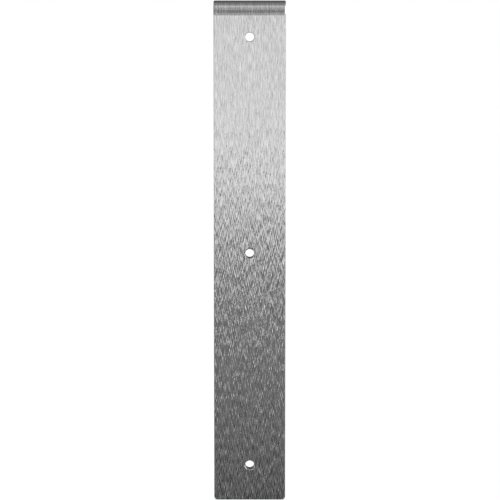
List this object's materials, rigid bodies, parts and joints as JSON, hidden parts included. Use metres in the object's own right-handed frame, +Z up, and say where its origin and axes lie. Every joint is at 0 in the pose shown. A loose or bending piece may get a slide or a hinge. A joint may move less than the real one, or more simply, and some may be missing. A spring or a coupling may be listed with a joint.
{
  "type": "kick plate",
  "caption": "Tall narrow kick plate bent from thick brushed steel bar, with a short square return at its upper end and open screw holes up its centre line.",
  "frame": {"origin": "centre of the lower end face, halfway through the plate's thickness", "axes": "+Z up along the plate towards the bent end, +Y out of the back face, the way the return runs, -Y out of the front face, X across the width"},
  "size_m": [0.0382, 0.0191, 0.2667],
  "materials": {
    "brushed_steel": "brushed along the plate's length, satin, uncoated"
  },
  "bodies": {
    "root": {"kick_plate": "brushed_steel"}
  },
  "joints": []
}
